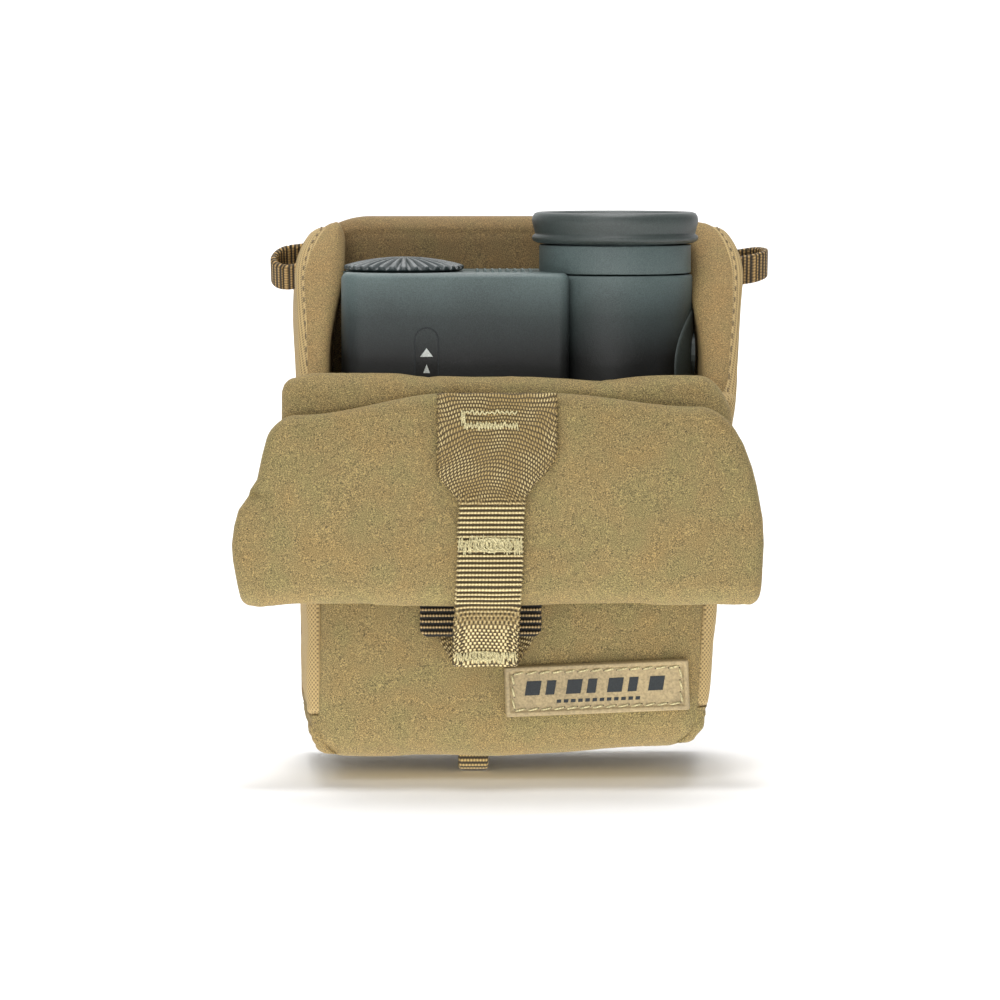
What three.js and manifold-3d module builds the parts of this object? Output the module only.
// Chest-harness optics pack: a padded fabric pouch with a forward-folding lid, and the laser
// rangefinder that it carries. Units are millimetres, +Z is up and -Y is the front.
// The row's origin is the middle of the pouch's back face, where the pack hangs on its harness.
import * as THREE from "three";
import { mergeVertices } from "three/addons/utils/BufferGeometryUtils.js";
import Module from "manifold-3d";

const wasm = await Module();
wasm.setup();

// ---------------------------------------------------------------- driving dimensions
const GAP = 0.3; // clearance kept between touching pieces
const FABRIC = 1.0; // thickness of shell and lining cloth
const WEBBING = 1.4; // thickness of flat webbing

// Pouch. Heights are above the pouch's underside and depths are measured from its back face.
const BACK_HEIGHT = 113;
const BACK_THICKNESS = 6.4;
const FRONT_HEIGHT = 74;
const FRONT_THICKNESS = 5.6;
const FRONT_HALF_WIDTH = 41.5;
const POUCH_DEPTH = 51;
const BASE_THICKNESS = 8.2;
const POCKET_HALF_WIDTH = 39.2;
const BACK_HALF_BOTTOM = 45;
const BACK_HALF_TOP = 49.6;
const RIM_FRONT_HEIGHT = 79.5; // top of the side wall where it meets the lid

// Lid. It hangs folded in two in front of the pouch: a riser, then a top flap in front of it.
const HINGE = { y: -55.5, z: 77.4, radius: 4 };
const FOLD = { y: -61.7, z: 39.4, radius: 5.3 };
const LID_LAYER = 5.2; // thickness of the riser and of the top flap
const RISER_SHIFT = -1.8; // the lid sits a little to the left,
const FLAP_SHIFT = -3.6; // its top flap a little more
const FLAP_HALF = 54.6;
const FLAP_TOP = 77.6;

// Closing strap, its keeper and the label
const STRAP_X = -4.6;
const STRAP_HALF_WIDE = 12.8;
const STRAP_HALF_NARROW = 7;
const STRAP_TOP = 77.5;
const STRAP_END_Z = 20.4;
const KEEPER_X = -7.2;
const LABEL = { x: 17.1, z: 15.5, width: 38.6, height: 9.9, thickness: 1.6, tilt: -0.064 };

// Loops and webbing rows
const LOOP_WIDTH = 6.4;
const LOOP_REACH = 5.2;
const ROW_WIDTH = 25.4;
const ROW_HALF_LENGTH = 38;
const ROW_OFFSET = 25.4; // of each webbing row from mid height

// Rangefinder
const RF_BOTTOM = BASE_THICKNESS + GAP;
const RF_SHOULDER = 101.7; // top of the slab-shaped housing
const RF_Y = -25.4; // middle of its depth
const SLAB = { left: -36.35, right: 11.5, depth: 34, corner: 4.5, wall: 2 };
const TUBE = { x: 21.85, radius: 16.5, bore: 13.5 };
const RING = { radius: 15.9, bore: 12.2, height: 6 };
const EYECUP_TOP = 114.4;
const BADGE = { x: -18.4, half: 2.6, bottom: 52, top: 90.5 };
const CAP = { x: -23.2, radius: 12.8, height: 2.8, flutes: 28 };
const BATTERY = { radius: 7.8, length: 27 };
const LASER = { x: -20.6, radius: 11 };

const GAP_TO_TUBE = TUBE.radius + GAP;
const FRONT_FACE = -POUCH_DEPTH;
const FRONT_INSIDE = FRONT_FACE + FRONT_THICKNESS;
const WALL_FRONT = FRONT_INSIDE + GAP;
const WALL_BACK = -BACK_THICKNESS - GAP;

// ---------------------------------------------------------------- finishes
const finishes = {
  olive: { color: 0x9a8558, roughness: 0.95, metalness: 0 },
  tan: { color: 0xb29668, roughness: 0.95, metalness: 0 },
  lining: { color: 0x94794f, roughness: 0.95, metalness: 0 },
  foam: { color: 0x4a4a48, roughness: 1.0, metalness: 0 },
  webbing: { color: 0x8d7445, roughness: 0.85, metalness: 0 },
  label: { color: 0xb9a578, roughness: 0.7, metalness: 0 },
  housing: { color: 0x3a4246, roughness: 0.6, metalness: 0 },
  rubber: { color: 0x2f3538, roughness: 0.8, metalness: 0 },
  glass: { color: 0x6b5a7a, roughness: 0.05, metalness: 0 },
  steel: { color: 0xa8a9ab, roughness: 0.35, metalness: 1 },
  board: { color: 0x2a5a3a, roughness: 0.6, metalness: 0 },
};

const pack = new THREE.Group();
pack.position.z = -BACK_HEIGHT / 2;

function add(name, geometry, finish) {
  const mesh = new THREE.Mesh(geometry, new THREE.MeshStandardMaterial(finishes[finish]));
  mesh.name = name;
  pack.add(mesh);
}

// ---------------------------------------------------------------- solid helpers
function toSolid(geometry) {
  const bare = geometry.index ? geometry.toNonIndexed() : geometry.clone();
  bare.deleteAttribute("normal");
  bare.deleteAttribute("uv");
  const merged = mergeVertices(bare, 1e-4);
  return new wasm.Manifold(
    new wasm.Mesh({
      numProp: 3,
      vertProperties: merged.attributes.position.array,
      triVerts: new Uint32Array(merged.index.array),
    }),
  );
}

function toGeometry(solid) {
  const mesh = solid.getMesh();
  const geometry = new THREE.BufferGeometry();
  geometry.setAttribute("position", new THREE.BufferAttribute(mesh.vertProperties, 3));
  geometry.setIndex(new THREE.BufferAttribute(mesh.triVerts, 1));
  return geometry;
}

function cut(geometry, ...cutters) {
  let solid = toSolid(geometry);
  for (const cutter of cutters) solid = solid.subtract(toSolid(cutter));
  return toGeometry(solid);
}

function common(first, second) {
  return toGeometry(toSolid(first).intersect(toSolid(second)));
}

// A closed outline through corner points [u, v, radius], each corner rounded by its radius.
function outline(corners) {
  const points = corners.map(([u, v]) => new THREE.Vector2(u, v));
  const shape = new THREE.Shape();
  corners.forEach(([, , radius = 0], i) => {
    const corner = points[i];
    const before = points[(i + points.length - 1) % points.length];
    const after = points[(i + 1) % points.length];
    const entry = corner.clone().add(before.clone().sub(corner).setLength(radius));
    const exit = corner.clone().add(after.clone().sub(corner).setLength(radius));
    if (i === 0) shape.moveTo(entry.x, entry.y);
    else shape.lineTo(entry.x, entry.y);
    if (radius > 0) shape.quadraticCurveTo(corner.x, corner.y, exit.x, exit.y);
  });
  shape.closePath();
  return shape;
}

function extrude(shape, depth, curveSegments = 5) {
  return new THREE.ExtrudeGeometry(shape, { depth, bevelEnabled: false, curveSegments });
}

// An upright sheet: the outline is seen from the front (x, z) and fills front..back in y.
function sheet(corners, front, back) {
  return extrude(outline(corners), back - front)
    .rotateX(Math.PI / 2)
    .translate(0, back, 0);
}

// A lengthwise section: the outline is seen from the right (y, z) and fills left..right in x.
function section(corners, left, right) {
  const turn = new THREE.Matrix4().makeBasis(
    new THREE.Vector3(0, 1, 0),
    new THREE.Vector3(0, 0, 1),
    new THREE.Vector3(1, 0, 0),
  );
  return extrude(outline(corners), right - left)
    .applyMatrix4(turn)
    .translate(left, 0, 0);
}

// A plan section: the outline is seen from above (x, y) and fills bottom..top in z.
function plan(corners, bottom, top) {
  return extrude(outline(corners), top - bottom).translate(0, 0, bottom);
}

function rod(radius, bottom, top, x, y, sides = 32) {
  return new THREE.CylinderGeometry(radius, radius, top - bottom, sides)
    .rotateX(Math.PI / 2)
    .translate(x, y, (bottom + top) / 2);
}

function crossRod(radius, left, right, y, z, sides = 20) {
  return new THREE.CylinderGeometry(radius, radius, right - left, sides)
    .rotateZ(Math.PI / 2)
    .translate((left + right) / 2, y, z);
}

// A ring about an upright axis, from a closed profile of [radius, height] pairs.
function turned(profile, x, y, sides = 40) {
  const points = profile.map(([r, z]) => new THREE.Vector2(r, z));
  return new THREE.LatheGeometry(points, sides).rotateX(Math.PI / 2).translate(x, y, 0);
}

// Three layers of one padded panel, between the outer and inner faces of its thickness.
function layers(outer, inner) {
  const inward = Math.sign(inner - outer);
  const shellInside = outer + inward * FABRIC;
  const liningOutside = inner - inward * FABRIC;
  return {
    shell: [outer, shellInside],
    foam: [shellInside + inward * GAP, liningOutside - inward * GAP],
    lining: [liningOutside, inner],
  };
}

function ordered([a, b]) {
  return a < b ? [a, b] : [b, a];
}

// ---------------------------------------------------------------- pouch
function backOutline(inset) {
  const round = 9;
  const foot = BACK_HALF_BOTTOM - inset;
  const head = BACK_HALF_TOP - inset;
  return [
    [-foot, inset, 5],
    [foot, inset, 5],
    [head, BACK_HEIGHT - 18, 6],
    [head - 4, BACK_HEIGHT - inset, round],
    [-head + 4, BACK_HEIGHT - inset, round],
    [-head, BACK_HEIGHT - 18, 6],
  ];
}

function addBack() {
  const y = layers(0, -BACK_THICKNESS);
  add("back_shell", sheet(backOutline(0), ...ordered(y.shell)), "olive");
  add("back_foam", sheet(backOutline(1.5), ...ordered(y.foam)), "foam");
  add("back_lining", sheet(backOutline(0.6), ...ordered(y.lining)), "lining");
}

// Plan of the front panel: flat face, rounded upright edges.
function frontPlan(outset, depth) {
  const half = FRONT_HALF_WIDTH - outset;
  return [
    [-half, FRONT_INSIDE, 0],
    [-half, FRONT_FACE + outset, depth],
    [half, FRONT_FACE + outset, depth],
    [half, FRONT_INSIDE, 0],
  ];
}

function addFront() {
  const hollow = plan(
    [
      [-FRONT_HALF_WIDTH + FABRIC, FRONT_INSIDE + 1, 0],
      [-FRONT_HALF_WIDTH + FABRIC, FRONT_FACE + FABRIC, 3.6],
      [FRONT_HALF_WIDTH - FABRIC, FRONT_FACE + FABRIC, 3.6],
      [FRONT_HALF_WIDTH - FABRIC, FRONT_INSIDE + 1, 0],
    ],
    FABRIC,
    FRONT_HEIGHT - FABRIC,
  );
  add("front_shell", cut(plan(frontPlan(0, 4.6), 0, FRONT_HEIGHT), hollow), "olive");
  const inside = FABRIC + GAP;
  const half = FRONT_HALF_WIDTH - inside;
  const foamBack = FRONT_INSIDE - FABRIC - GAP;
  const foam = [
    [-half, foamBack, 0],
    [-half, FRONT_FACE + inside, 2.6],
    [half, FRONT_FACE + inside, 2.6],
    [half, foamBack, 0],
  ];
  add("front_foam", plan(foam, inside, FRONT_HEIGHT - inside), "foam");
  const lining = [
    [-half, inside, 2],
    [half, inside, 2],
    [half, FRONT_HEIGHT - inside, 2],
    [-half, FRONT_HEIGHT - inside, 2],
  ];
  add("front_lining", sheet(lining, FRONT_INSIDE - FABRIC, FRONT_INSIDE), "lining");
}

function addBase() {
  const z = layers(0, BASE_THICKNESS);
  const half = POCKET_HALF_WIDTH - GAP;
  const footprint = [
    [-half, WALL_FRONT, 1],
    [half, WALL_FRONT, 1],
    [half, WALL_BACK, 1],
    [-half, WALL_BACK, 1],
  ];
  add("base_shell", plan(footprint, ...z.shell), "olive");
  add("base_foam", plan(footprint, ...z.foam), "foam");
  add("base_lining", plan(footprint, ...z.lining), "lining");
}

// Side of the pouch seen from the right: high at the back, sloping down to the front panel.
function wallProfile(inset) {
  return [
    [WALL_FRONT + inset, inset * 0.2, 2],
    [WALL_BACK, inset * 0.2, 2],
    [WALL_BACK, BACK_HEIGHT - 3 - inset, 3],
    [WALL_BACK - 9, BACK_HEIGHT - 4 - inset, 5],
    [-30, BACK_HEIGHT - 16 - inset, 6],
    [WALL_FRONT + 2 + inset, RIM_FRONT_HEIGHT - inset, 4.5],
    [WALL_FRONT + inset, FRONT_HEIGHT - 2 - inset, 2.5],
  ];
}

function outerFace(y, z) {
  const back = (y - FRONT_FACE) / POUCH_DEPTH;
  const flare = (BACK_HALF_TOP - BACK_HALF_BOTTOM) * (z / BACK_HEIGHT);
  return FRONT_HALF_WIDTH + (BACK_HALF_BOTTOM - FRONT_HALF_WIDTH) * back + flare;
}

// A slab with the side wall's profile whose outer face flares towards the back and the top.
function wallSlab(profile, innerAt, outerAt, side) {
  const geometry = section(profile, 0, 1);
  const place = geometry.attributes.position;
  for (let i = 0; i < place.count; i += 1) {
    const y = place.getY(i);
    const z = place.getZ(i);
    const inner = innerAt(y, z);
    place.setX(i, inner + (outerAt(y, z) - inner) * place.getX(i));
  }
  if (side > 0) return geometry;
  const mirrored = geometry.applyMatrix4(new THREE.Matrix4().makeScale(-1, 1, 1));
  return reversed(mirrored);
}

function reversed(geometry) {
  const place = geometry.attributes.position;
  for (let i = 0; i < place.count; i += 3) {
    const second = [place.getX(i + 1), place.getY(i + 1), place.getZ(i + 1)];
    place.setXYZ(i + 1, place.getX(i + 2), place.getY(i + 2), place.getZ(i + 2));
    place.setXYZ(i + 2, ...second);
  }
  return geometry;
}

// Everything below the sloping edge, which the rim facing doesn't cover.
function belowRim() {
  return new THREE.BoxGeometry(200, 60, 2 * FRONT_HEIGHT).translate(0, -30, 0);
}

function addWalls() {
  const innerFace = () => POCKET_HALF_WIDTH;
  const liningOutside = () => POCKET_HALF_WIDTH + FABRIC;
  const foamInside = () => POCKET_HALF_WIDTH + FABRIC + GAP;
  const foamOutside = (y, z) => outerFace(y, z) - FABRIC - GAP;
  const shellInside = (y, z) => outerFace(y, z) - FABRIC;
  const filling = wallProfile(FABRIC + 2 * GAP);
  const rimInside = wallProfile(FABRIC + GAP);
  for (const [name, side] of [["left", -1], ["right", 1]]) {
    const rim = cut(
      wallSlab(wallProfile(0), innerFace, foamOutside, side),
      wallSlab(rimInside, () => POCKET_HALF_WIDTH - 5, () => 60, side),
      belowRim(),
    );
    add(name + "_wall_lining", wallSlab(filling, innerFace, liningOutside, side), "lining");
    add(name + "_wall_foam", wallSlab(filling, foamInside, foamOutside, side), "foam");
    add(name + "_wall_shell", wallSlab(wallProfile(0), shellInside, outerFace, side), "tan");
    add(name + "_rim_facing", rim, "tan");
  }
}

addBack();
addFront();
addBase();
addWalls();

// ---------------------------------------------------------------- loops, rows, label, keeper
// A folded webbing loop seen along its hole, sewn at its open side.
function loopBand(reach, height, width) {
  const outer = [
    [0, -height / 2, 0],
    [reach, -height / 2, reach * 0.6],
    [reach, height / 2, reach * 0.6],
    [0, height / 2, 0],
  ];
  const slimmer = 1.2;
  const hole = [
    [-1, -height / 2 + slimmer, 0],
    [reach - slimmer, -height / 2 + slimmer, reach * 0.4],
    [reach - slimmer, height / 2 - slimmer, reach * 0.4],
    [-1, height / 2 - slimmer, 0],
  ];
  return cut(sheet(outer, -width / 2, width / 2), sheet(hole, -width, width));
}

function addLoops() {
  const height = 8.6;
  const y = -12;
  const z = 102;
  const root = outerFace(y + height / 2, z) + GAP;
  const right = loopBand(LOOP_REACH, height, LOOP_WIDTH).rotateX(Math.PI / 2);
  const left = right.clone().rotateZ(Math.PI);
  add("right_tether_loop", right.translate(root, y, z), "webbing");
  add("left_tether_loop", left.translate(-root, y, z), "webbing");
  add(
    "bottom_tether_loop",
    loopBand(4.6, LOOP_WIDTH, LOOP_WIDTH)
      .rotateY(Math.PI / 2)
      .translate(-8.5, -30, -GAP),
    "webbing",
  );
}

function addWebbingRows() {
  const row = [
    [-ROW_HALF_LENGTH, -ROW_WIDTH / 2, 1],
    [ROW_HALF_LENGTH, -ROW_WIDTH / 2, 1],
    [ROW_HALF_LENGTH, ROW_WIDTH / 2, 1],
    [-ROW_HALF_LENGTH, ROW_WIDTH / 2, 1],
  ];
  for (const [name, step] of [["upper", 1], ["lower", -1]]) {
    const z = BACK_HEIGHT / 2 + step * ROW_OFFSET;
    add(name + "_harness_webbing", sheet(row, GAP, GAP + WEBBING).translate(0, 0, z), "webbing");
  }
}

function addLabel() {
  const { x, z, width, height, thickness, tilt } = LABEL;
  const patch = [
    [-width / 2, -height / 2, 1.2],
    [width / 2, -height / 2, 1.2],
    [width / 2, height / 2, 1.2],
    [-width / 2, height / 2, 1.2],
  ];
  const back = FRONT_FACE - GAP;
  const geometry = sheet(patch, -thickness, 0).rotateY(tilt).translate(x, back, z);
  add("label_patch", geometry, "label");
}

function addKeeper() {
  const back = FRONT_FACE - GAP;
  const tab = [
    [-STRAP_HALF_WIDE, 39, 1],
    [-STRAP_HALF_WIDE, 27, 2],
    [-STRAP_HALF_NARROW, STRAP_END_Z + 1, 1],
    [STRAP_HALF_NARROW, STRAP_END_Z + 1, 1],
    [STRAP_HALF_WIDE, 27, 2],
    [STRAP_HALF_WIDE, 39, 1],
  ];
  add(
    "front_anchor_webbing",
    sheet(tab, back - WEBBING, back).translate(KEEPER_X, 0, 0),
    "webbing",
  );
}

addLoops();
addWebbingRows();
addLabel();
addKeeper();

// ---------------------------------------------------------------- lid
function riserOutline(inset) {
  const bottom = FOLD.z + FOLD.radius + GAP;
  const top = HINGE.z - HINGE.radius - GAP;
  return [
    [RISER_SHIFT - 48 + inset, bottom, 1],
    [RISER_SHIFT + 48 - inset, bottom, 1],
    [RISER_SHIFT + 46.5 - inset, top, 1],
    [RISER_SHIFT - 46.5 + inset, top, 1],
  ];
}

// The top flap: wide ears beside the fold, narrower towards its free edge.
function flapOutline(inset) {
  const bottom = FOLD.z + GAP;
  return [
    [FLAP_SHIFT - FLAP_HALF + inset, bottom, 1],
    [FLAP_SHIFT + FLAP_HALF - inset, bottom, 1],
    [FLAP_SHIFT + 54 - inset, 57, 6],
    [FLAP_SHIFT + 49 - inset, 68, 6],
    [FLAP_SHIFT + 42 - inset, FLAP_TOP - 2.5 - inset, 2],
    [FLAP_SHIFT + 12 - inset, FLAP_TOP - inset, 1],
    [FLAP_SHIFT - 13 + inset, FLAP_TOP - inset, 1],
    [FLAP_SHIFT - 43 + inset, FLAP_TOP - 3.5 - inset, 3],
    [FLAP_SHIFT - 49 + inset, 65, 3],
    [FLAP_SHIFT - 51 + inset, 57.5, 2],
    [FLAP_SHIFT - FLAP_HALF + inset, 51, 2],
  ];
}

function addRiser() {
  const against = HINGE.y - GAP;
  const y = layers(against, against - LID_LAYER);
  add("riser_shell", sheet(riserOutline(0), ...ordered(y.shell)), "olive");
  add("riser_foam", sheet(riserOutline(1.3), ...ordered(y.foam)), "foam");
  add("riser_lining", sheet(riserOutline(0.4), ...ordered(y.lining)), "lining");
  const half = 46.8;
  const left = RISER_SHIFT - half;
  const right = RISER_SHIFT + half;
  const roll = crossRod(HINGE.radius, left, right, HINGE.y, HINGE.z);
  add("lid_hinge_roll", roll, "olive");
}

function addFlap() {
  const inside = FOLD.y - 0.4;
  const y = layers(inside - LID_LAYER, inside);
  const magnet = { radius: 8, x: STRAP_X, z: 64 };
  const turn = (radius, from, to) =>
    rod(radius, from, to, 0, 0).rotateX(Math.PI / 2).translate(magnet.x, 0, magnet.z);
  const foam = sheet(flapOutline(1.3), ...ordered(y.foam));
  const [front, back] = ordered(y.foam);
  add("flap_shell", sheet(flapOutline(0), ...ordered(y.shell)), "olive");
  add("flap_foam", cut(foam, turn(magnet.radius + GAP, -back - 1, -front + 1)), "foam");
  add("flap_lining", sheet(flapOutline(0.4), ...ordered(y.lining)), "lining");
  add("flap_magnet", turn(magnet.radius, -back + 0.4, -front - 0.4), "steel");
  const left = FLAP_SHIFT - FLAP_HALF;
  const right = FLAP_SHIFT + FLAP_HALF;
  const roll = crossRod(FOLD.radius, left, right, FOLD.y, FOLD.z, 32);
  const above = new THREE.BoxGeometry(200, 20, 20).translate(0, FOLD.y, FOLD.z + 10);
  add("lid_fold_roll", cut(roll, above), "olive");
}

// The strap lies on the flap, passes over the fold and ends in a folded pull tab.
function addStrap() {
  const face = FOLD.y - 0.4 - LID_LAYER - GAP;
  const skin = WEBBING;
  const run = [
    [face, STRAP_TOP, 0.4],
    [face, 38, 3],
    [face + 3.4, 30.5, 2],
    [face + 9.8, 24.9, 1.5],
    [face + 10.4, 22.6, 0.4],
    [face + 11.2, 22.6, 0.4],
    [face + 11.2, 29, 0.3],
    [face + 11.2 + skin, 29, 0.3],
    [face + 11.2 + skin, STRAP_END_Z, 1.2],
    [face + 10.4 - skin, STRAP_END_Z, 1.2],
    [face + 9.6 - skin, 23.6, 1],
    [face + 2.6 - skin, 29, 2],
    [face - skin, 37, 3],
    [face - skin, STRAP_TOP, 0.4],
  ];
  const width = STRAP_HALF_WIDE;
  const narrow = STRAP_HALF_NARROW;
  const front = [
    [-narrow, STRAP_END_Z - 1, 0],
    [narrow, STRAP_END_Z - 1, 0],
    [narrow, 56.5, 2],
    [width, 64, 3],
    [width, STRAP_TOP, 1],
    [-width, STRAP_TOP, 1],
    [-width, 64, 3],
    [-narrow, 56.5, 2],
  ];
  const ribbon = section(run, STRAP_X - width - 1, STRAP_X + width + 1);
  const cutter = sheet(front, face - 20, face + 30).translate(STRAP_X, 0, 0);
  add("lid_strap", common(ribbon, cutter), "webbing");
}

addRiser();
addFlap();
addStrap();

// ---------------------------------------------------------------- rangefinder
// One half of the slab-shaped housing: a tray that is open at the parting plane.
function slabHalf(towardsFront) {
  const { left, right, depth, corner, wall } = SLAB;
  const outer = RF_Y + (towardsFront ? -depth / 2 : depth / 2);
  const split = RF_Y + (towardsFront ? -GAP / 2 : GAP / 2);
  const inward = towardsFront ? 1 : -1;
  const body = [
    [left, split, 0],
    [right, split, 0],
    [right, outer, 1.5],
    [left, outer, corner],
  ];
  const hollow = [
    [left + wall, split + inward, 0],
    [right - wall, split + inward, 0],
    [right - wall, outer + inward * wall, 0.5],
    [left + wall, outer + inward * wall, corner - wall],
  ];
  const upright = (corners, from, to) =>
    plan(towardsFront ? [...corners].reverse() : corners, from, to);
  return cut(
    upright(body, RF_BOTTOM, RF_SHOULDER),
    upright(hollow, RF_BOTTOM + wall, RF_SHOULDER - wall),
    rod(GAP_TO_TUBE, 0, BACK_HEIGHT, TUBE.x, RF_Y, 48),
    rod(BATTERY.radius + GAP, 60, BACK_HEIGHT, CAP.x, RF_Y),
    rod(LASER.radius + GAP, 0, RF_BOTTOM + 5, LASER.x, RF_Y),
  );
}

function badge(inset, front, back) {
  const half = BADGE.half - inset;
  const corners = [
    [-half, BADGE.bottom + inset, half],
    [half, BADGE.bottom + inset, half],
    [half, BADGE.top - inset, half],
    [-half, BADGE.top - inset, half],
  ];
  return sheet(corners, front, back).translate(BADGE.x, 0, 0);
}

function addHousing() {
  const face = RF_Y - SLAB.depth / 2;
  const front = cut(slabHalf(true), badge(0, face - 1, face + 0.8));
  add("rangefinder_front_cover", front, "housing");
  add("rangefinder_rear_cover", slabHalf(false), "housing");
  add("rangefinder_badge_strip", badge(GAP, face + 0.1, face + 0.5), "rubber");
}

function button(radius, z, from, to) {
  return rod(radius, from, to, 0, 0, 24)
    .rotateY(Math.PI / 2)
    .translate(TUBE.x, RF_Y, z);
}

function addTube() {
  const shell = turned(
    [
      [TUBE.bore, RF_BOTTOM],
      [TUBE.radius, RF_BOTTOM],
      [TUBE.radius, RF_SHOULDER - 0.6],
      [TUBE.bore, RF_SHOULDER - 0.6],
      [TUBE.bore, RF_BOTTOM],
    ],
    TUBE.x,
    RF_Y,
    48,
  );
  const keys = [
    ["rangefinder_measure_button", 5, 84],
    ["rangefinder_menu_button", 3.4, 66],
  ];
  const holes = keys.map(([, radius, z]) => button(radius + GAP, z, 8, 20));
  add("rangefinder_optics_tube", cut(shell, ...holes), "housing");
  for (const [name, radius, z] of keys) {
    add(name, button(radius, z, TUBE.bore + 0.8, TUBE.radius + 0.4), "rubber");
  }
}

function lens(radius, bottom, top, x) {
  const profile = [
    [0, bottom],
    [radius, bottom + 0.8],
    [radius, top - 0.8],
    [0, top],
  ];
  return turned(profile, x, RF_Y, 32);
}

function addOptics() {
  const objective = lens(TUBE.bore - GAP, RF_BOTTOM + 2, RF_BOTTOM + 6, TUBE.x);
  add("rangefinder_objective_lens", objective, "glass");
  const laser = lens(LASER.radius, RF_BOTTOM + 0.4, RF_BOTTOM + 3.6, LASER.x);
  add("rangefinder_laser_lens", laser, "glass");
  const eyepiece = lens(RING.bore - GAP, RF_SHOULDER + 1, RF_SHOULDER + 5, TUBE.x);
  add("rangefinder_eyepiece_lens", eyepiece, "glass");
}

function addEyepiece() {
  const low = RF_SHOULDER - 0.3;
  const high = low + RING.height;
  const ring = [
    [RING.bore, low],
    [RING.radius, low],
    [RING.radius + 0.4, low + 0.8],
    [RING.radius + 0.4, high],
    [RING.bore, high],
    [RING.bore, low],
  ];
  add("rangefinder_diopter_ring", turned(ring, TUBE.x, RF_Y), "housing");
  const lip = high + GAP;
  const cup = [
    [RING.bore, lip],
    [17.0, lip],
    [17.2, lip + 1.3],
    [17.75, lip + 1.9],
    [17.75, lip + 3.0],
    [17.2, lip + 3.7],
    [17.6, EYECUP_TOP - 1],
    [16.9, EYECUP_TOP],
    [15.2, EYECUP_TOP - 0.4],
    [RING.bore + 1, lip + 2],
    [RING.bore, lip],
  ];
  add("rangefinder_eyecup", turned(cup, TUBE.x, RF_Y), "rubber");
}

// Domed cap whose rim is fluted for the fingers.
function addBatteryCap() {
  const low = RF_SHOULDER + GAP;
  const dome = turned(
    [
      [0, low],
      [CAP.radius, low],
      [CAP.radius, low + 1.4],
      [CAP.radius - 1.6, low + CAP.height - 0.6],
      [CAP.radius - 5, low + CAP.height],
      [0, low + CAP.height],
    ],
    CAP.x,
    RF_Y,
    56,
  );
  const flutes = [];
  for (let i = 0; i < CAP.flutes; i += 1) {
    const angle = (i / CAP.flutes) * 2 * Math.PI;
    const x = CAP.x + (CAP.radius + 0.2) * Math.cos(angle);
    const y = RF_Y + (CAP.radius + 0.2) * Math.sin(angle);
    flutes.push(rod(0.6, low - 1, low + CAP.height + 1, x, y, 6));
  }
  add("rangefinder_battery_cap", cut(dome, ...flutes), "housing");
}

function addInternals() {
  const top = RF_SHOULDER - 1;
  const cell = rod(BATTERY.radius, top - BATTERY.length, top, CAP.x, RF_Y);
  add("rangefinder_battery", cell, "steel");
  const board = [
    [-32, 15, 0],
    [2, 15, 0],
    [2, 66, 0],
    [-32, 66, 0],
  ];
  add("rangefinder_circuit_board", sheet(board, RF_Y + 2, RF_Y + 3.6), "board");
}

addHousing();
addTube();
addOptics();
addEyepiece();
addBatteryCap();
addInternals();

export default pack;
